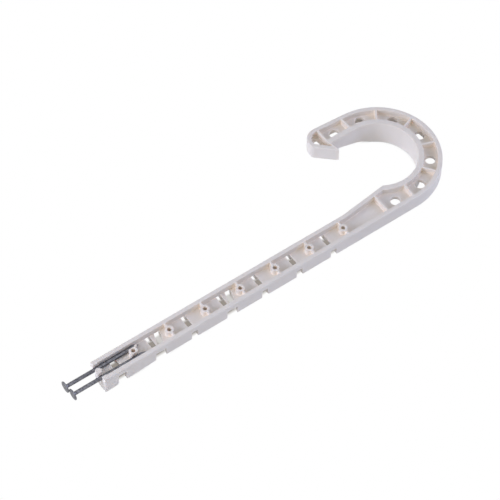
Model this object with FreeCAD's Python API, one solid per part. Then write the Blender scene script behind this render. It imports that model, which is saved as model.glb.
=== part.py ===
import FreeCAD, Part

import math
import os

from FreeCAD import Vector

# Moulded pipe J-hook with two nails carried in the open end of its shank.
# Millimetres. The hook lies on its back, open ribbed side up: X runs along the shank
# towards the hook, Y from the shank towards the mouth's far side, Z up.
# The origin is on the axis of the held pipe, in the plane of the saddle's lower edge.

# Pipe and saddle
PIPE_DIAMETER = 60.3
PIPE_CLEARANCE = 0.5
SADDLE_WIDTH = 22.2
SADDLE_WALL = 4.4
SKIRT_WALL = 3.2
SKIRT_RAMP_START = -14.0
SKIRT_RAMP_END = 16.0
SKIRT_ROOT = 0.4
CORNER_ANGLE = -123.0

# Section shared by the shank and the hook
BASE_DEPTH = 12.7
WALL = 3.4
POCKET_DEPTH = 5.3
WEB = 3.0
RIB = 1.5
EDGE_RADIUS = 0.8

# Hook
CROWN_SECTION = 17.5
OUTER_ARC_SHIFT = -0.7
RIB_FIRST_ANGLE = -93.5
RIB_STEP_ANGLE = 37.2
RIB_COUNT = 6
JUNCTION_RIB_OFFSET = 10.7
TIP_RIB_OFFSET = 2.2
WEB_HOLE_DIAMETER = 8.0

# Tip of the hook
TIP_LENGTH = 15.5
TIP_SLOPE = 4.0
TIP_OUTER_RADIUS = 11.0
TIP_INNER_RADIUS = 4.0
LIP_ANGLE = 135.6
LIP_UNDERCUT = 1.6
LIP_FACET = 3.2
LIP_FACET_SLOPE = 37.4
FRONT_SLOPE = 43.1

# Shank
SHANK_WIDTH = 19.4
FLARE_START_X = -58.0
BOSS_COUNT = 7
BOSS_PITCH = 31.75
LAST_BOSS_X = -65.1
END_LENGTH = 31.0
END_POST_INSET = 0.8
FOOT_LENGTH = 44.0
FOOT_DEPTH = 2.8
BOSS_DIAMETER = 6.8
NAIL_HOLE_DIAMETER = 3.4
FINGER_LENGTH = 5.6
FINGER_TURN = 35.0
FINGER_GAP = 0.1
NOTCH_WIDTH = 5.2
END_NOTCH_WIDTH = 7.0
NOTCH_TOP_RADIUS = 0.8
NOTCH_MOUTH_RADIUS = 1.2
SLANT_COUNT = 2
SLANT_OFFSET = 7.2
SLANT_WIDTH = 4.8
SLANT_TURN = 17.0
END_WINDOW_LENGTH = 5.8
END_WINDOW_REACH = 3.6

# Nails
NAIL_DIAMETER = 3.05
NAIL_LENGTH = 63.5
NAIL_REACH = 8.1
NAIL_FIT = 0.05
NAIL_WALL_GAP = 0.53
NAIL_POST_GAP = 0.22
NAIL_HEAD_DIAMETER = 9.3
NAIL_HEAD_THICKNESS = 0.9
NAIL_HEAD_EDGE = 0.3
NAIL_HEAD_GAP = 0.1
NAIL_POINT_LENGTH = 5.0
NAIL_TIP_WIDTH = 0.3
NAIL_PAD_LENGTH = 4.0

# Cutters run past the surfaces they open by this much
OVERRUN = 1.0


def polar(center, radius, degrees):
    angle = math.radians(degrees)
    return center + Vector(radius * math.cos(angle), radius * math.sin(angle), 0)


# Levels
top_z = SADDLE_WIDTH
base_z = top_z - BASE_DEPTH
web_top_z = top_z - POCKET_DEPTH
web_under_z = web_top_z - WEB

# Plan positions
seat_radius = PIPE_DIAMETER / 2 + PIPE_CLEARANCE
far_y = -seat_radius
near_y = far_y - SHANK_WIDTH
shank_y = (far_y + near_y) / 2
outer_radius = seat_radius + (SHANK_WIDTH + CROWN_SECTION) / 2
outer_center = Vector(OUTER_ARC_SHIFT, near_y + outer_radius, 0)
lip = polar(Vector(0, 0, 0), seat_radius, LIP_ANGLE)
facet = polar(lip, LIP_FACET, 180 - LIP_FACET_SLOPE)
corner = polar(Vector(0, 0, 0), seat_radius, CORNER_ANGLE)
boss_xs = [LAST_BOSS_X - BOSS_PITCH * i for i in reversed(range(BOSS_COUNT))]
end_x = boss_xs[0] - END_LENGTH
tip_end_x = lip.x - TIP_LENGTH
tip_rib_x = lip.x - TIP_RIB_OFFSET
junction_rib_x = corner.x - JUNCTION_RIB_OFFSET
nail_offset = SHANK_WIDTH / 2 - WALL - NAIL_WALL_GAP - NAIL_DIAMETER / 2
nail_z = web_top_z + NAIL_DIAMETER / 2 + NAIL_FIT
post_radius = nail_offset - NAIL_DIAMETER / 2 - NAIL_POST_GAP


def line(start, end):
    return Part.LineSegment(start, end).toShape()


def arc(start, middle, end):
    return Part.Arc(start, middle, end).toShape()


def box(x_range, y_range, z_range):
    low = Vector(x_range[0], y_range[0], z_range[0])
    return Part.makeBox(x_range[1] - x_range[0], y_range[1] - y_range[0], z_range[1] - z_range[0], low)


def post(radius, x, y, z_range):
    return Part.makeCylinder(radius, z_range[1] - z_range[0], Vector(x, y, z_range[0]))


def prism(face, z_range):
    solid = face.copy()
    solid.translate(Vector(0, 0, z_range[0]))
    return solid.extrude(Vector(0, 0, z_range[1] - z_range[0]))


def rounded_corner(before, corner, after, radius):
    """Start, middle and end of the arc that rounds the corner between two straight edges."""
    to_before = (before - corner).normalize()
    to_after = (after - corner).normalize()
    half_angle = to_before.getAngle(to_after) / 2
    bisector = (to_before + to_after).normalize()
    center = corner + bisector * (radius / math.sin(half_angle))
    reach = radius / math.tan(half_angle)
    return corner + to_before * reach, center - bisector * radius, corner + to_after * reach


def plan_face(inset):
    """Plan of the section, or with an inset of the hollow in its walls, before the pipe's room is cut.

    It runs along the near wall, round the hook to its tip, in to the pipe's axis and back by the far wall.
    """
    origin = Vector(0, 0, 0)
    near_end = Vector(end_x, near_y + inset, 0)
    far_end = Vector(end_x, far_y - inset, 0)
    arc_radius = outer_radius - inset
    arc_start = polar(outer_center, arc_radius, -90)
    arc_end = polar(outer_center, arc_radius, 90 - TIP_SLOPE)
    tip_x = tip_end_x + inset
    tip_rise = math.tan(math.radians(TIP_SLOPE)) * (arc_end.x - tip_x)
    tip_corner = Vector(tip_x, arc_end.y + tip_rise, 0)
    front_end = polar(polar(facet, inset, 90 - FRONT_SLOPE), 2 * LIP_FACET, -FRONT_SLOPE)
    front_rise = math.tan(math.radians(FRONT_SLOPE)) * (front_end.x - tip_x)
    front_corner = Vector(tip_x, front_end.y + front_rise, 0)
    wall_corner = corner - Vector(0, inset, 0)
    flare = Vector(FLARE_START_X, far_y - inset, 0)
    wall_end = wall_corner + (wall_corner - flare).normalize() * SADDLE_WALL
    tip_arc = rounded_corner(arc_end, tip_corner, front_corner, max(TIP_OUTER_RADIUS - inset, RIB))
    front_arc = rounded_corner(tip_corner, front_corner, front_end, max(TIP_INNER_RADIUS - inset, RIB))
    edges = [
        line(near_end, arc_start),
        arc(arc_start, polar(outer_center, arc_radius, 0), arc_end),
        line(arc_end, tip_arc[0]),
        arc(*tip_arc),
        line(tip_arc[2], front_arc[0]),
        arc(*front_arc),
        line(front_arc[2], front_end),
        line(front_end, origin),
        line(origin, wall_end),
        line(wall_end, flare),
        line(flare, far_end),
        line(far_end, near_end),
    ]
    return Part.Face(Part.Wire(edges))


def pipe_space():
    """The room for the pipe: the saddle's round, the straight run to the lip, and out at the mouth."""
    origin = Vector(0, 0, 0)
    lip_root = Vector(lip.x - LIP_UNDERCUT, seat_radius, 0)
    crown = polar(origin, seat_radius, 90)
    outside = Vector(2 * tip_end_x, 0, 0)
    edges = [
        line(lip, lip_root),
        line(lip_root, crown),
        arc(crown, polar(origin, seat_radius, 0), corner),
        line(corner, outside),
        line(outside, facet),
        line(facet, lip),
    ]
    return prism(Part.Face(Part.Wire(edges)), (-OVERRUN, top_z + OVERRUN))


def rounded_base():
    """The full section before it is hollowed, with the outer edges of the rims rounded."""
    solid = prism(plan_face(0), (base_z, top_z))
    rounded = [edge for edge in solid.Edges if is_rim_edge(edge)]
    return solid.makeFillet(EDGE_RADIUS, rounded)


def is_rim_edge(edge):
    """True for the upper outer edges: the shank's two sides and the hook's outer curve to its tip."""
    middle = edge.valueAt((edge.FirstParameter + edge.LastParameter) / 2)
    at_top = edge.BoundBox.ZMin > top_z - EDGE_RADIUS
    at_end = abs(middle.x - end_x) < EDGE_RADIUS
    plan = Vector(middle.x, middle.y, 0)
    on_curve = plan.distanceToPoint(outer_center) > outer_radius - EDGE_RADIUS
    on_shank = middle.y < 0 and plan.Length > seat_radius + EDGE_RADIUS
    return at_top and not at_end and (on_curve or on_shank)


def radial_ribs(z_range):
    reach = seat_radius + SHANK_WIDTH
    ribs = []
    for index in range(RIB_COUNT):
        rib = box((seat_radius, reach), (-RIB / 2, RIB / 2), z_range)
        rib.rotate(Vector(0, 0, 0), Vector(0, 0, 1), RIB_FIRST_ANGLE + RIB_STEP_ANGLE * index)
        ribs.append(rib)
    return ribs


def straight_ribs(z_range):
    far_reach = seat_radius + SHANK_WIDTH
    return [
        box((junction_rib_x - RIB / 2, junction_rib_x + RIB / 2), (near_y, 0), z_range),
        box((tip_rib_x - RIB / 2, tip_rib_x + RIB / 2), (seat_radius, far_reach), z_range),
    ]


def bosses(xs, z_range):
    """Nail bosses, each on a cross rib that joins it to both walls."""
    posts = [post(BOSS_DIAMETER / 2, x, shank_y, z_range) for x in xs]
    ribs = [box((x - RIB / 2, x + RIB / 2), (near_y, far_y), z_range) for x in xs]
    return posts + ribs


def nail_clip(z_range):
    """The first boss above the web: flat where the nails pass, with a finger over each of them."""
    x = boss_xs[0]
    radius = BOSS_DIAMETER / 2
    core = box((x - radius, x + radius), (shank_y - post_radius, shank_y + post_radius), z_range)
    pieces = [post(radius, x, shank_y, z_range).common(core)]
    finger_z = (nail_z + NAIL_DIAMETER / 2 + FINGER_GAP, z_range[1])
    for turn in (FINGER_TURN, FINGER_TURN + 180):
        finger = box((x, x + FINGER_LENGTH), (shank_y - RIB / 2, shank_y + RIB / 2), finger_z)
        finger.rotate(Vector(x, shank_y, 0), Vector(0, 0, 1), turn)
        pieces.append(finger)
    return pieces


def end_post():
    """Round post between the nails, partly out of the open end."""
    return post(post_radius, end_x + END_POST_INSET, shank_y, (web_under_z, top_z))


def nail_pads(z_range):
    """Pads on the walls at the open end, which pinch the nails against the end post."""
    reach = nail_offset + NAIL_DIAMETER / 2 + NAIL_FIT
    x_range = (end_x - OVERRUN, end_x + NAIL_PAD_LENGTH)
    return [
        box(x_range, (near_y, shank_y - reach), z_range),
        box(x_range, (shank_y + reach, far_y), z_range),
    ]


def end_wall(z_range):
    """Closes the open end under the near nail."""
    return box((end_x - OVERRUN, end_x + RIB), (near_y, shank_y), z_range)


def saddle_disc(radius, start_x, z_range):
    """A disc on the pipe's axis, run on straight from its crown towards the lip and ended at start_x."""
    crown = Vector(0, radius, 0)
    land_end = Vector(start_x, radius, 0)
    arc_end = Vector(start_x, -math.sqrt(radius ** 2 - start_x ** 2), 0)
    edges = [
        line(land_end, crown),
        arc(crown, Vector(radius, 0, 0), arc_end),
        line(arc_end, land_end),
    ]
    return prism(Part.Face(Part.Wire(edges)), z_range)


def cavity(z_range, fittings):
    """The hollow between the walls on one side of the web, less its ribs, bosses and end fittings."""
    hollow = prism(plan_face(WALL), z_range)
    backing = saddle_disc(seat_radius + SADDLE_WALL, tip_rib_x, z_range)
    ribs = radial_ribs(z_range) + straight_ribs(z_range)
    return hollow.cut([backing, end_post()] + ribs + fittings)


def lower_edge(x):
    """Level of the shank's lower edge, which runs down towards the open end."""
    return base_z - FOOT_DEPTH * max(0, end_x + FOOT_LENGTH - x) / FOOT_LENGTH


def foot():
    start_x = end_x + FOOT_LENGTH
    profile = [
        Vector(end_x, near_y, base_z + WALL),
        Vector(end_x, near_y, lower_edge(end_x)),
        Vector(start_x, near_y, base_z),
        Vector(start_x, near_y, base_z + WALL),
    ]
    return Part.Face(Part.makePolygon(profile + profile[:1])).extrude(Vector(0, SHANK_WIDTH, 0))


def skirt():
    """The saddle's lower part, which deepens from nothing at the mouth to full width at the back."""
    slope = base_z / (SKIRT_RAMP_END - SKIRT_RAMP_START)
    y = -2 * seat_radius
    profile = [
        Vector(SKIRT_RAMP_START - SKIRT_ROOT / slope, y, base_z + SKIRT_ROOT),
        Vector(SKIRT_RAMP_END, y, 0),
        Vector(2 * seat_radius, y, 0),
        Vector(2 * seat_radius, y, base_z + SKIRT_ROOT),
    ]
    ramp = Part.Face(Part.makePolygon(profile + profile[:1])).extrude(Vector(0, 4 * seat_radius, 0))
    return saddle_disc(seat_radius + SKIRT_WALL, lip.x, (-OVERRUN, base_z + OVERRUN)).common(ramp)


def web_holes():
    """Round openings in the web, one in the middle of each pocket of the hook."""
    radius = (2 * seat_radius + SADDLE_WALL + CROWN_SECTION - WALL) / 2
    centers = [polar(Vector(0, 0, 0), radius, RIB_FIRST_ANGLE + RIB_STEP_ANGLE * (i + 0.5))
               for i in range(RIB_COUNT - 1)]
    first_rib = polar(Vector(0, 0, 0), radius, RIB_FIRST_ANGLE)
    last_rib = polar(Vector(0, 0, 0), radius, RIB_FIRST_ANGLE + RIB_STEP_ANGLE * (RIB_COUNT - 1))
    centers.append(Vector((junction_rib_x + first_rib.x) / 2, shank_y, 0))
    centers.append(Vector((tip_rib_x + last_rib.x) / 2, radius, 0))
    centers.append(Vector((tip_rib_x + tip_end_x + WALL) / 2, radius, 0))
    z_range = (web_under_z - OVERRUN, web_top_z + OVERRUN)
    return [post(WEB_HOLE_DIAMETER / 2, c.x, c.y, z_range) for c in centers]


def nail_holes():
    z_range = (lower_edge(end_x) - OVERRUN, top_z + OVERRUN)
    return [post(NAIL_HOLE_DIAMETER / 2, x, shank_y, z_range) for x in boss_xs]


def notch(x, width):
    """Break-off slot half a pitch before a boss: through both walls and the web, from below."""
    half = width / 2
    mouth = half + NOTCH_MOUTH_RADIUS
    y = near_y - OVERRUN
    below = lower_edge(x - mouth) - OVERRUN
    edge_z = lower_edge(x)
    top = web_top_z
    turn = 1 - math.sqrt(0.5)

    def at(offset, z):
        return Vector(x + offset, y, z)

    def mouth_arc(side):
        bend = half + NOTCH_MOUTH_RADIUS * turn
        return (at(side * mouth, edge_z), at(side * bend, edge_z + NOTCH_MOUTH_RADIUS * turn),
                at(side * half, edge_z + NOTCH_MOUTH_RADIUS))

    def top_arc(side):
        bend = half - NOTCH_TOP_RADIUS * turn
        return (at(side * half, top - NOTCH_TOP_RADIUS), at(side * bend, top - NOTCH_TOP_RADIUS * turn),
                at(side * (half - NOTCH_TOP_RADIUS), top))

    left_mouth, right_mouth = mouth_arc(-1), mouth_arc(1)
    left_top, right_top = top_arc(-1), top_arc(1)
    edges = [
        line(at(mouth, below), at(-mouth, below)),
        line(at(-mouth, below), left_mouth[0]),
        arc(*left_mouth),
        line(left_mouth[2], left_top[0]),
        arc(*left_top),
        line(left_top[2], right_top[2]),
        arc(*right_top),
        line(right_top[0], right_mouth[2]),
        arc(*right_mouth),
        line(right_mouth[0], at(mouth, below)),
    ]
    face = Part.Face(Part.Wire(edges))
    return face.extrude(Vector(0, SHANK_WIDTH + 2 * OVERRUN, 0))


def slanted_slots():
    """Slots beside the notches before every second boss, slanted towards them from the far wall."""
    reach = SHANK_WIDTH + OVERRUN
    slots = []
    for x in boss_xs[1::2][:SLANT_COUNT]:
        pivot = Vector(x - SLANT_OFFSET, far_y - WALL, 0)
        x_range = (pivot.x - SLANT_WIDTH / 2, pivot.x + SLANT_WIDTH / 2)
        slot = box(x_range, (pivot.y - reach, pivot.y + 2 * WALL), (base_z - OVERRUN, web_top_z))
        slot.rotate(pivot, Vector(0, 0, 1), -SLANT_TURN)
        slots.append(slot)
    return slots


def end_window():
    """Opening through the far wall and the web's edge at the open end."""
    y_range = (far_y - WALL - END_WINDOW_REACH, far_y + OVERRUN)
    z_range = (lower_edge(end_x) - OVERRUN, web_top_z)
    return box((end_x - OVERRUN, end_x + END_WINDOW_LENGTH), y_range, z_range)


def hook_body():
    above_web = (web_top_z, top_z + OVERRUN)
    under_web = (lower_edge(end_x) - OVERRUN, web_under_z)
    upper = cavity(above_web, bosses(boss_xs[1:], above_web) + nail_clip(above_web) + nail_pads(above_web))
    lower = cavity(under_web, bosses(boss_xs, under_web) + [end_wall(under_web)])
    body = rounded_base().fuse([foot(), skirt(), end_post()]).cut([pipe_space(), upper, lower])
    notches = [notch(x - BOSS_PITCH / 2, NOTCH_WIDTH) for x in boss_xs[1:]]
    notches.append(notch(boss_xs[0] - BOSS_PITCH / 2, END_NOTCH_WIDTH))
    return body.cut(web_holes() + nail_holes() + notches + slanted_slots() + [end_window()])


def square(x, y, half):
    spread = [(-half, -half), (half, -half), (half, half), (-half, half)]
    corners = [Vector(x, y + across, nail_z + up) for across, up in spread]
    return Part.makePolygon(corners + corners[:1])


def nail(y, reach):
    """Flat-headed nail along X, head outwards, its four-sided point past the first boss by the reach."""
    tip_x = boss_xs[0] + reach
    head_x = tip_x - NAIL_LENGTH
    head_radius = NAIL_HEAD_DIAMETER / 2
    radius = NAIL_DIAMETER / 2
    profile = [
        (0, 0),
        (0, head_radius - NAIL_HEAD_EDGE),
        (NAIL_HEAD_EDGE, head_radius),
        (NAIL_HEAD_THICKNESS - NAIL_HEAD_EDGE, head_radius),
        (NAIL_HEAD_THICKNESS, head_radius - NAIL_HEAD_EDGE),
        (NAIL_HEAD_THICKNESS, radius),
        (NAIL_LENGTH, radius),
        (NAIL_LENGTH, 0),
    ]
    points = [Vector(head_x + along, y, nail_z + out) for along, out in profile]
    face = Part.Face(Part.makePolygon(points + points[:1]))
    blank = face.revolve(Vector(head_x, y, nail_z), Vector(1, 0, 0), 360)
    tip_half = NAIL_TIP_WIDTH / 2
    slope = (radius - tip_half) / NAIL_POINT_LENGTH
    far_half = tip_half + slope * NAIL_LENGTH
    taper = Part.makeLoft([square(head_x, y, far_half), square(tip_x, y, tip_half)], True, True)
    return blank.common(taper)


def main():
    far_reach = NAIL_REACH - NAIL_HEAD_THICKNESS - NAIL_HEAD_GAP
    nodes = {
        "hook_body": hook_body(),
        "nail_far": nail(shank_y + nail_offset, far_reach),
        "nail_near": nail(shank_y - nail_offset, NAIL_REACH),
    }
    os.makedirs("parts", exist_ok=True)
    for name, shape in nodes.items():
        solid = shape.Solids[0] if len(shape.Solids) == 1 else shape
        print(name, "valid", solid.isValid(), "solids", len(shape.Solids), "volume", round(solid.Volume, 1))
        solid.exportStep(f"parts/{name}.step")


main()
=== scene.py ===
"""A moulded pipe J-hook and the two nails that it carries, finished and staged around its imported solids.

Lengths are metres, in the frame of the solids: X runs along the shank towards the hook, Z is up, and the
open ribbed side faces up. The origin is on the axis of the held pipe.
"""

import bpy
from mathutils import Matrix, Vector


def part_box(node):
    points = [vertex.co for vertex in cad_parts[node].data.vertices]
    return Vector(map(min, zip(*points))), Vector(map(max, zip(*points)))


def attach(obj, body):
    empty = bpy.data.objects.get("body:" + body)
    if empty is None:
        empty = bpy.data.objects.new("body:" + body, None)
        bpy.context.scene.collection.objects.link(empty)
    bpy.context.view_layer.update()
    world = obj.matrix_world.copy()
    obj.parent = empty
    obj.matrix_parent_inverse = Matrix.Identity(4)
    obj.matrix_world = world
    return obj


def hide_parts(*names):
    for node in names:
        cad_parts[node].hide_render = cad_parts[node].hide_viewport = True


bl_info = {
    "name": "Pipe J-hook",
    "version": (1, 0, 0),
    "blender": (4, 5, 0),
    "location": "View3D > Sidebar > J-hook",
    "description": "Moulded pipe J-hook with its two nails, on a studio floor",
    "category": "Object",
}

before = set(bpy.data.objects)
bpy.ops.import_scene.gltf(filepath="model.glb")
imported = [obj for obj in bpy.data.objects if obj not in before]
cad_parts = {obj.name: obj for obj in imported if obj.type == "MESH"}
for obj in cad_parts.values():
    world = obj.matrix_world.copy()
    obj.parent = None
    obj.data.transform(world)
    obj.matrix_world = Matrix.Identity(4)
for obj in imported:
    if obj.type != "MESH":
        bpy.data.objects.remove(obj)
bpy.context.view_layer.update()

import math

import bmesh
import bpy
from bpy.props import FloatProperty, FloatVectorProperty, IntProperty, PointerProperty
from mathutils import Matrix, Vector

MM = 0.001
BODY = "root"
HOOK_NODE = "hook_body"
NAIL_NODES = ("nail_far", "nail_near")
SADDLE_RADIUS = 30.65 * MM  # inside, round the axis of the held pipe
SHANK_WIDTH = 19.4 * MM
SLANTED_SLOTS = (-229.0 * MM, -165.5 * MM)  # places along X where the floor shows through them
SENSOR_WIDTH = 36  # millimetres, the unit of a camera's sensor and lens
WHITE = (1, 1, 1)

hook_low, hook_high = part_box(HOOK_NODE)


def length(name, description, default):
    return FloatProperty(name=name, description=description, default=default, min=0, precision=5,
                         unit="LENGTH")


def angle(name, description, degrees):
    return FloatProperty(name=name, description=description, default=math.radians(degrees), unit="ROTATION")


def factor(name, description, default):
    return FloatProperty(name=name, description=description, default=default, min=0, max=1, subtype="FACTOR")


def colour(name, description, default):
    """A colour of a surface, or the tint of a light, which may pass 1."""
    return FloatVectorProperty(name=name, description=description, default=default, size=3, min=0, max=2,
                               subtype="COLOR")


def power(name, description, default):
    return FloatProperty(name=name, description=description, default=default, min=0, unit="POWER")


def direction(name, description, default):
    return FloatVectorProperty(name=name, description=description, default=default, subtype="DIRECTION")


class JHookPlastic(bpy.types.PropertyGroup):
    """Edges and finish of the moulded hook"""

    edge_radius: length("Edge radius", "Rounding of the moulded edges", 0.2 * MM)
    colour: colour("Colour", "Off-white of the moulded plastic", (0.78, 0.728, 0.682))
    shade: colour("Shade", "Darker end of the plastic's faint clouding", (0.755, 0.703, 0.654))
    # Painted light: this warm tint goes into the colour where walls close round a pocket, in place of light
    # that has passed through the walls.
    warm: colour("Warm", "Plastic in the pockets, where light has passed through the walls",
                 (0.86, 0.776, 0.682))
    painted_light_reach: length("Warm reach", "Distance over which walls round a pocket warm it", 12 * MM)
    roughness: factor("Roughness", "Roughness of the moulded skin", 0.42)
    roughness_change: factor("Roughness change", "Change of the roughness over the grain, up and down", 0.05)
    ior: FloatProperty(name="IOR", description="Index of refraction of the plastic", default=1.5, min=1)
    depth: length("Depth", "Distance that light wanders inside the plastic", 2.5 * MM)
    depth_share: factor("Depth share", "Share of the light that wanders inside the plastic", 0.5)
    depth_tint: colour("Depth tint", "Share of the depth that red, green and blue light reach",
                       (1.0, 0.75, 0.55))
    cloud_size: length("Cloud size", "Width of the faint clouds in the colour", 22 * MM)
    grain_size: length("Grain size", "Width of the fine grain left by the mould", 0.35 * MM)
    grain_depth: length("Grain depth", "Depth of the fine grain left by the mould", 0.005 * MM)


class JHookNails(bpy.types.PropertyGroup):
    """Sizes and finish of the nails"""

    shank_diameter: length("Shank diameter", "Diameter of the wire", 3.05 * MM)
    head_thickness: length("Head thickness", "Thickness of the flat head at its rim", 0.9 * MM)
    head_edge: length("Head edge", "Rounding of the head's rim", 0.3 * MM)
    point_length: length("Point length", "Length of the four-sided point", 5.0 * MM)
    tip_width: length("Tip width", "Width of the blunt tip", 0.3 * MM)
    grip_count: IntProperty(name="Grip marks", description="Grooves pressed in under the head", default=6,
                            min=0)
    grip_pitch: length("Grip pitch", "Distance between the grooves", 1.3 * MM)
    grip_depth: length("Grip depth", "Depth of the grooves", 0.12 * MM)
    colour: colour("Colour", "Zinc-coated steel", (0.26, 0.26, 0.28))
    dark: colour("Dark", "Dull patches of the zinc", (0.085, 0.085, 0.1))
    roughness: factor("Roughness", "Roughness of the bright zinc", 0.34)
    dull_roughness: factor("Dull roughness", "Roughness of the dull patches", 0.5)
    patch_size: length("Patch size", "Width of the bright and dull patches", 1.6 * MM)
    line_size: length("Line size", "Width of the fine drawing lines", 0.25 * MM)
    line_share: factor("Line share", "Width of a drawing line as a share of its length", 0.03)
    line_depth: length("Line depth", "Depth of the drawing lines", 0.01 * MM)


class JHookStage(bpy.types.PropertyGroup):
    """Floor, shadow, light and camera"""

    floor_size: length("Floor size", "Side of the square floor", 8.0)
    floor_colour: colour("Floor", "Pale floor, as it lights the hook", (0.88, 0.88, 0.88))
    contact_reach: length("Contact reach", "Height below which the hook shades the floor", 11 * MM)
    contact_open: factor("Contact open", "Share of open sky from which the floor is white in the picture",
                         0.5)
    shadow_start: length("Shadow start", "Distance of the shank's own shadow from its open end",
                         SHANK_WIDTH / 3)
    shadow_width: length("Shadow width", "Width of the shank's own shadow on the floor", 13.8 * MM)
    shadow_shift: length("Shadow shift", "Shift of that shadow to the shank's far side", 3.4 * MM)
    shadow_drift: factor("Shadow drift", "Further shift towards the hook, where the shank stands higher",
                         0.015)
    shadow_edge: length("Shadow edge", "Softness of that shadow's edge", 3 * MM)
    gap_width: length("Gap width", "Width of the lighter floor under each slanted slot", 5.5 * MM)
    gap_light: factor("Gap light", "Share of white on that lighter floor", 0.45)
    shadow_colour: colour("Shadow", "Floor in the middle of that shadow", (0.32, 0.29, 0.26))
    sky_colour: colour("Sky", "Soft light from all around", (1.0, 0.99, 0.93))
    sky_strength: factor("Sky strength", "Level of the light from all around", 0.455)
    key_colour: colour("Key", "Light from the side of the open end", (0.935, 0.99, 1.24))
    key_power: power("Key power", "Power of the key light", 13.8)
    key_direction: direction("Key direction", "Way from the hook to the key light", (-0.9, 0.1, 0.42))
    side_colour: colour("Side", "Cool light from the hook's side and the front", (0.825, 0.97, 1.6))
    side_power: power("Side power", "Power of the side light", 5.7)
    side_direction: direction("Side direction", "Way from the hook to the side light", (0.72, -0.48, 0.5))
    light_size: length("Light size", "Side of each square light", 0.9)
    light_distance: length("Light distance", "Distance of the lights from the hook", 1.5)
    view_elevation: angle("View elevation", "Height of the camera above the rims' plane", 53.356)
    view_turn: angle("View turn", "Turn of the camera from the direction across the shank", 35.633)
    view_roll: angle("View roll", "Roll of the camera", 0.175)
    view_distance: length("View distance", "Distance of the camera from what it looks at", 1.695)
    view_target: FloatVectorProperty(name="View target", description="Point at the middle of the picture",
                                     default=(-0.1343, -0.01652, hook_high.z), subtype="TRANSLATION")
    lens: FloatProperty(name="Lens", description="Focal length of the camera", default=163.44, unit="CAMERA")


class NodeTree:
    """A material's or world's nodes, added and linked with one call each."""

    MIDDLE_LOW = 0.3
    MIDDLE_HIGH = 0.7

    def __init__(self, owner):
        owner.use_nodes = True
        self.tree = owner.node_tree
        self.tree.nodes.clear()

    def add(self, kind, inputs=(), **settings):
        node = self.tree.nodes.new(kind)
        for name, value in settings.items():
            setattr(node, name, value)
        for name, value in dict(inputs).items():
            if isinstance(value, bpy.types.NodeSocket):
                self.tree.links.new(value, node.inputs[name])
            else:
                node.inputs[name].default_value = value
        return node

    def noise(self, vector, size, detail):
        inputs = {"Vector": vector, "Scale": 1 / size, "Detail": detail}
        return self.add("ShaderNodeTexNoise", inputs).outputs[0]

    def calculate(self, operation, *values):
        return self.add("ShaderNodeMath", dict(enumerate(values)), operation=operation).outputs[0]

    def blend(self, share, low, high):
        """Colour between low and high, each a colour or a socket."""
        ends = [end if isinstance(end, bpy.types.NodeSocket) else (*end, 1) for end in (low, high)]
        # A Mix node's inputs 6 and 7 and its output 2 are those for colours.
        mix = self.add("ShaderNodeMix", {0: share, 6: ends[0], 7: ends[1]}, data_type="RGBA")
        return mix.outputs[2]

    def ramp(self, value, start, end, low=0, high=1):
        """Runs from low to high while the value runs from start to end, and is level outside."""
        inputs = {"Value": value, "From Min": start, "From Max": end, "To Min": low, "To Max": high}
        return self.add("ShaderNodeMapRange", inputs).outputs[0]

    def spread(self, value, low, high):
        """The middle of the range from 0 to 1, stretched to run from low to high."""
        return self.ramp(value, self.MIDDLE_LOW, self.MIDDLE_HIGH, low, high)

    def bump(self, height, depth):
        inputs = {"Height": height, "Strength": 1.0, "Distance": depth}
        return self.add("ShaderNodeBump", inputs).outputs[0]


def plastic_material(settings):
    """Off-white moulded plastic: faint clouds, painted warm light in the pockets and a satin skin of fine
    grain.
    """
    material = bpy.data.materials.new("moulded_plastic")
    nodes = NodeTree(material)
    place = nodes.add("ShaderNodeTexCoord").outputs["Object"]
    clouds = nodes.noise(place, settings.cloud_size, detail=3)
    grain = nodes.noise(place, settings.grain_size, detail=2)
    clouded = nodes.blend(nodes.spread(clouds, 0, 1), settings.shade, settings.colour)
    # Painted warm light: the more closed in a point is, the more of the warm tint its colour takes.
    painted_light_mask = nodes.add("ShaderNodeAmbientOcclusion", {"Distance": settings.painted_light_reach}, only_local=True)
    change = settings.roughness_change
    skin = nodes.add("ShaderNodeBsdfPrincipled", {
        "Base Color": nodes.blend(nodes.spread(painted_light_mask.outputs["AO"], 0, 1), settings.warm, clouded),
        "Roughness": nodes.spread(grain, settings.roughness - change, settings.roughness + change),
        "Normal": nodes.bump(grain, settings.grain_depth),
        "IOR": settings.ior,
        "Subsurface Weight": settings.depth_share,
        "Subsurface Scale": settings.depth,
        "Subsurface Radius": settings.depth_tint,
    }, subsurface_method="BURLEY")
    nodes.add("ShaderNodeOutputMaterial", {"Surface": skin.outputs[0]})
    return material


def steel_material(settings):
    """Zinc-coated wire: bright and dull patches, with fine drawing lines along the nail."""
    material = bpy.data.materials.new("zinc_steel")
    nodes = NodeTree(material)
    place = nodes.add("ShaderNodeTexCoord").outputs["Object"]
    patches = nodes.noise(place, settings.patch_size, detail=4)
    along = nodes.add("ShaderNodeMapping", {"Vector": place, "Scale": (settings.line_share, 1, 1)})
    lines = nodes.noise(along.outputs[0], settings.line_size, detail=2)
    skin = nodes.add("ShaderNodeBsdfPrincipled", {
        "Base Color": nodes.blend(nodes.spread(patches, 0, 1), settings.dark, settings.colour),
        "Roughness": nodes.spread(patches, settings.dull_roughness, settings.roughness),
        "Normal": nodes.bump(lines, settings.line_depth),
        "Metallic": 1.0,
    })
    nodes.add("ShaderNodeOutputMaterial", {"Surface": skin.outputs[0]})
    return material


def place_piece(name, work, material, node):
    """Turns a bmesh into a smooth piece that rides on the part and stands for a node."""
    for face in work.faces:
        face.smooth = True
    mesh = bpy.data.meshes.new(name)
    work.to_mesh(mesh)
    work.free()
    mesh.materials.append(material)
    piece = bpy.data.objects.new(name, mesh)
    bpy.context.scene.collection.objects.link(piece)
    piece.modifiers.new("flat faces", "WEIGHTED_NORMAL")
    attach(piece, BODY)
    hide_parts(node)


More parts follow.
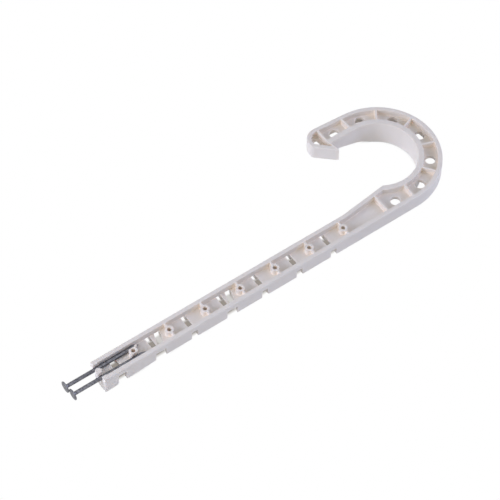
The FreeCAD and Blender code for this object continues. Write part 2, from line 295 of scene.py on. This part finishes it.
class JHOOK_OT_hook(bpy.types.Operator):
    """Round the edges of the moulded hook and give it its plastic"""

    bl_idname = "jhook.hook"
    bl_label = "Moulded hook"

    MERGE = 0.002 * MM  # distance at which corners of the node's loose triangles are one
    FLAT_ANGLE = math.radians(0.3)  # up to it, neighbouring faces are one flat face
    SHARP_ANGLE = math.radians(30)  # past it, an edge is rounded
    EDGE_SEGMENTS = 2

    def execute(self, context):
        settings = context.scene.jhook_plastic
        work = bmesh.new()
        work.from_mesh(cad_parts[HOOK_NODE].data)
        for layer in list(work.loops.layers.uv):
            work.loops.layers.uv.remove(layer)
        bmesh.ops.remove_doubles(work, verts=work.verts, dist=self.MERGE)
        bmesh.ops.dissolve_limit(work, angle_limit=self.FLAT_ANGLE, use_dissolve_boundaries=False,
                                 verts=work.verts, edges=work.edges, delimit={"NORMAL"})
        sharp = [edge for edge in work.edges if edge.calc_face_angle() > self.SHARP_ANGLE]
        bmesh.ops.bevel(work, geom=sharp, offset=settings.edge_radius, offset_type="OFFSET", affect="EDGES",
                        segments=self.EDGE_SEGMENTS, profile=0.5, material=-1, loop_slide=True)
        place_piece("moulded_hook", work, plastic_material(settings), HOOK_NODE)
        return {"FINISHED"}


class JHOOK_OT_nails(bpy.types.Operator):
    """Model the two flat-headed nails"""

    bl_idname = "jhook.nails"
    bl_label = "Nails"

    TURN_STEPS = 40
    POINT_SIDES = 4
    FIRST_GRIP = 1.5  # pitches from the head to the first groove
    MERGE = 0.004 * MM

    def profile(self, settings, head_radius, nail_length):
        """Half section of a nail: distance from the face of the head, and from the axis."""
        edge = settings.head_edge
        thick = settings.head_thickness
        radius = settings.shank_diameter / 2
        outline = [
            (0, 0),
            (0, head_radius - 2 * edge),
            (edge / 3, head_radius - edge / 2),
            (edge, head_radius),
            (thick - edge, head_radius),
            (thick, head_radius - edge),
            (thick, radius + edge),
            (thick + edge, radius),
        ]
        half_groove = settings.grip_pitch / 4
        for index in range(settings.grip_count):
            middle = thick + settings.grip_pitch * (index + self.FIRST_GRIP)
            outline += [(middle - half_groove, radius), (middle, radius - settings.grip_depth),
                        (middle + half_groove, radius)]
        outline += [(nail_length - settings.point_length, radius), (nail_length, radius), (nail_length, 0)]
        return outline

    def sharpen(self, work, tip, settings):
        """Cuts the end of the wire to a four-sided point with a blunt tip."""
        half_tip = settings.tip_width / 2
        slope = math.atan2(settings.shank_diameter / 2 - half_tip, settings.point_length)
        for side in range(self.POINT_SIDES):
            turn = Matrix.Rotation(2 * math.pi * side / self.POINT_SIDES, 3, "X")
            normal = turn @ Vector((math.sin(slope), 0, math.cos(slope)))
            tip_side = tip + turn @ Vector((0, 0, half_tip))
            geom = work.verts[:] + work.edges[:] + work.faces[:]
            bmesh.ops.bisect_plane(work, geom=geom, plane_co=tip_side, plane_no=normal, clear_outer=True)
            rim = [edge for edge in work.edges if edge.is_boundary]
            bmesh.ops.contextual_create(work, geom=rim)

    def execute(self, context):
        settings = context.scene.jhook_nails
        material = steel_material(settings)
        for node in NAIL_NODES:
            low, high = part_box(node)
            axis_start = Vector((low.x, (low.y + high.y) / 2, (low.z + high.z) / 2))
            work = bmesh.new()
            outline = self.profile(settings, (high.y - low.y) / 2, high.x - low.x)
            verts = [work.verts.new(axis_start + Vector((along, 0, out))) for along, out in outline]
            edges = [work.edges.new(pair) for pair in zip(verts, verts[1:])]
            bmesh.ops.spin(work, geom=verts + edges, cent=axis_start, axis=(1, 0, 0), angle=2 * math.pi,
                           steps=self.TURN_STEPS, use_merge=True)
            bmesh.ops.remove_doubles(work, verts=work.verts, dist=self.MERGE)
            tip = axis_start + Vector((high.x - low.x, 0, 0))
            self.sharpen(work, tip, settings)
            bmesh.ops.remove_doubles(work, verts=work.verts, dist=self.MERGE)
            bmesh.ops.recalc_face_normals(work, faces=work.faces)
            place_piece(node.replace("nail_", "wire_nail_"), work, material, node)
        return {"FINISHED"}


class JHOOK_OT_stage(bpy.types.Operator):
    """Set the floor under the hook, the light round it and the camera"""

    bl_idname = "jhook.stage"
    bl_label = "Floor, light and camera"

    END_LENGTH = 10 * MM  # stretch of the shank that counts as its open end
    LEVEL = 0.01 * MM  # height within which a point counts as one of the lowest

    def show(self, nodes, output, lighting, seen):
        """Lights the hook with one shader, and shows the other to the camera, mirrors and glass."""
        path = nodes.add("ShaderNodeLightPath").outputs
        direct = path["Is Camera Ray"]
        for other in ("Is Glossy Ray", "Is Transmission Ray"):
            direct = nodes.calculate("MAXIMUM", direct, path[other])
        mixed = nodes.add("ShaderNodeMixShader", {0: direct, 1: lighting.outputs[0], 2: seen.outputs[0]})
        nodes.add(output, {"Surface": mixed.outputs[0]})

    def sky(self, settings, world):
        nodes = NodeTree(world)
        light = nodes.add("ShaderNodeBackground", {"Color": (*settings.sky_colour, 1),
                                                   "Strength": settings.sky_strength})
        white = nodes.add("ShaderNodeBackground", {"Color": (*WHITE, 1), "Strength": 1.0})
        self.show(nodes, "ShaderNodeOutputWorld", light, white)

    def outside(self, nodes, settings, place, middle, half_width):
        """0 within half a width of the middle, rising to 1 over the shadow's soft edge."""
        distance = nodes.calculate("ABSOLUTE", nodes.calculate("SUBTRACT", place, middle))
        soft = settings.shadow_edge / 2
        return nodes.ramp(distance, half_width - soft, half_width + soft)

    def lit_share(self, nodes, settings):
        """0 in the shank's own shadow, more under its slanted slots, and 1 on the open floor."""
        place = nodes.add("ShaderNodeTexCoord").outputs["Object"]
        axes = nodes.add("ShaderNodeSeparateXYZ", {0: place}).outputs
        start = hook_low.x + settings.shadow_start
        end = -SADDLE_RADIUS
        middle_x = (start + end) / 2
        middle_y = hook_low.y + SHANK_WIDTH / 2 + settings.shadow_shift
        drift = settings.shadow_drift
        shift = nodes.calculate("MULTIPLY_ADD", axes["X"], -drift, drift * middle_x)
        across = nodes.calculate("ADD", axes["Y"], shift)
        beside = self.outside(nodes, settings, across, middle_y, settings.shadow_width / 2)
        beyond = self.outside(nodes, settings, axes["X"], middle_x, (end - start) / 2)
        lit = nodes.calculate("MAXIMUM", beside, beyond)
        for slot_x in SLANTED_SLOTS:
            away = self.outside(nodes, settings, axes["X"], slot_x, settings.gap_width / 2)
            lit = nodes.calculate("MAXIMUM", lit, nodes.ramp(away, 0, 1, settings.gap_light, 0))
        return lit

    def floor_material(self, settings):
        """Matte floor for the light, and white with soft shadows for the camera."""
        material = bpy.data.materials.new("studio_floor")
        nodes = NodeTree(material)
        matte = nodes.add("ShaderNodeBsdfDiffuse", {"Color": (*settings.floor_colour, 1)})
        open_sky = nodes.add("ShaderNodeAmbientOcclusion", {"Distance": settings.contact_reach})
        seen = nodes.add("ShaderNodeEmission", {
            "Color": nodes.blend(self.lit_share(nodes, settings), settings.shadow_colour, WHITE),
            "Strength": nodes.ramp(open_sky.outputs["AO"], 0, settings.contact_open),
        })
        self.show(nodes, "ShaderNodeOutputMaterial", matte, seen)
        return material

    def floor(self, settings):
        """A plane that touches the saddle's lower edge and the underside of the shank's open end."""
        verts = [vert.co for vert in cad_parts[HOOK_NODE].data.vertices]
        end = min((co for co in verts if co.x < hook_low.x + self.END_LENGTH), key=lambda co: co.z)
        saddle = min((co for co in verts if co.z < hook_low.z + self.LEVEL), key=lambda co: co.x)
        slope = math.atan2(end.z - saddle.z, saddle.x - end.x)
        work = bmesh.new()
        bmesh.ops.create_grid(work, x_segments=1, y_segments=1, size=settings.floor_size / 2)
        bmesh.ops.rotate(work, verts=work.verts, matrix=Matrix.Rotation(slope, 3, "Y"))
        bmesh.ops.translate(work, verts=work.verts, vec=(saddle.x, 0, saddle.z))
        mesh = bpy.data.meshes.new("studio_floor")
        work.to_mesh(mesh)
        work.free()
        mesh.materials.append(self.floor_material(settings))
        floor = bpy.data.objects.new("studio_floor", mesh)
        bpy.context.scene.collection.objects.link(floor)

    def area_light(self, settings, name, way, energy, tint):
        light = bpy.data.lights.new(name, "AREA")
        light.size = settings.light_size
        light.energy = energy
        light.color = tint
        lamp = bpy.data.objects.new(name, light)
        toward = Vector(way).normalized()
        lamp.location = (hook_low + hook_high) / 2 + toward * settings.light_distance
        lamp.rotation_euler = toward.to_track_quat("Z", "Y").to_euler()
        bpy.context.scene.collection.objects.link(lamp)

    def camera(self, settings):
        rise, turn, roll = settings.view_elevation, settings.view_turn, settings.view_roll
        right = Vector((math.cos(turn), -math.sin(turn), 0))
        up = Vector((math.sin(rise) * math.sin(turn), math.sin(rise) * math.cos(turn), math.cos(rise)))
        rolled_right = right * math.cos(roll) - up * math.sin(roll)
        rolled_up = right * math.sin(roll) + up * math.cos(roll)
        back = rolled_right.cross(rolled_up)
        data = bpy.data.cameras.new("photo_camera")
        data.lens = settings.lens
        data.sensor_width = SENSOR_WIDTH
        camera = bpy.data.objects.new("photo_camera", data)
        turned = Matrix((rolled_right, rolled_up, back)).transposed().to_4x4()
        stand = Vector(settings.view_target) + back * settings.view_distance
        camera.matrix_world = Matrix.Translation(stand) @ turned
        bpy.context.scene.collection.objects.link(camera)
        bpy.context.scene.camera = camera

    def execute(self, context):
        settings = context.scene.jhook_stage
        context.scene.view_settings.view_transform = "Standard"
        world = bpy.data.worlds.new("studio")
        context.scene.world = world
        self.sky(settings, world)
        self.floor(settings)
        self.area_light(settings, "key_light", settings.key_direction, settings.key_power,
                        settings.key_colour)
        self.area_light(settings, "side_light", settings.side_direction, settings.side_power,
                        settings.side_colour)
        self.camera(settings)
        return {"FINISHED"}


class JHOOK_PT_panel(bpy.types.Panel):
    """Sizes, finishes and operators of the J-hook"""

    bl_idname = "JHOOK_PT_panel"
    bl_label = "Pipe J-hook"
    bl_space_type = "VIEW_3D"
    bl_region_type = "UI"
    bl_category = "J-hook"

    def draw(self, context):
        for operator, group in STEPS:
            column = self.layout.box().column()
            settings = getattr(context.scene, group)
            for name in settings.__annotations__:
                column.prop(settings, name)
            column.operator(operator)


STEPS = (
    (JHOOK_OT_hook.bl_idname, "jhook_plastic"),
    (JHOOK_OT_nails.bl_idname, "jhook_nails"),
    (JHOOK_OT_stage.bl_idname, "jhook_stage"),
)
GROUPS = {"jhook_plastic": JHookPlastic, "jhook_nails": JHookNails, "jhook_stage": JHookStage}
CLASSES = (*GROUPS.values(), JHOOK_OT_hook, JHOOK_OT_nails, JHOOK_OT_stage, JHOOK_PT_panel)


def register():
    for cls in CLASSES:
        bpy.utils.register_class(cls)
    for name, group in GROUPS.items():
        setattr(bpy.types.Scene, name, PointerProperty(type=group))


def unregister():
    for name in GROUPS:
        delattr(bpy.types.Scene, name)
    for cls in reversed(CLASSES):
        bpy.utils.unregister_class(cls)


def main():
    register()
    bpy.ops.jhook.hook()
    bpy.ops.jhook.nails()
    bpy.ops.jhook.stage()


if __name__ == "__main__":
    main()
